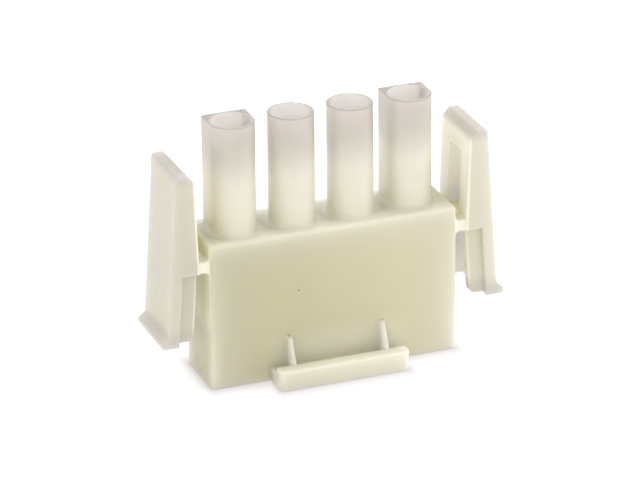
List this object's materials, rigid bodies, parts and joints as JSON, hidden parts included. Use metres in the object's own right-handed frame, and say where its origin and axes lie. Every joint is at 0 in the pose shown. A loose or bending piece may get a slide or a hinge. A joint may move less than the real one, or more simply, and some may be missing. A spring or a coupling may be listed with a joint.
{
  "type": "wire to board connector plug housing",
  "caption": "Single-row plug housing for crimped wire contacts, with tubular silos, two rocker latch arms and a front rail, moulded in one piece.",
  "frame": {"origin": "middle of the flat wire-entry face, on the plane that holds the circuits' axes", "axes": "+X along the row of circuits, +Y towards the plain back, +Z from the wire-entry face towards the silos' rims"},
  "size_m": [0.0374, 0.0105, 0.0276],
  "materials": {
    "natural_nylon": "uncoloured translucent nylon, satin, with soft moulded edges"
  },
  "bodies": {
    "root": {"housing": "natural_nylon"}
  },
  "joints": []
}
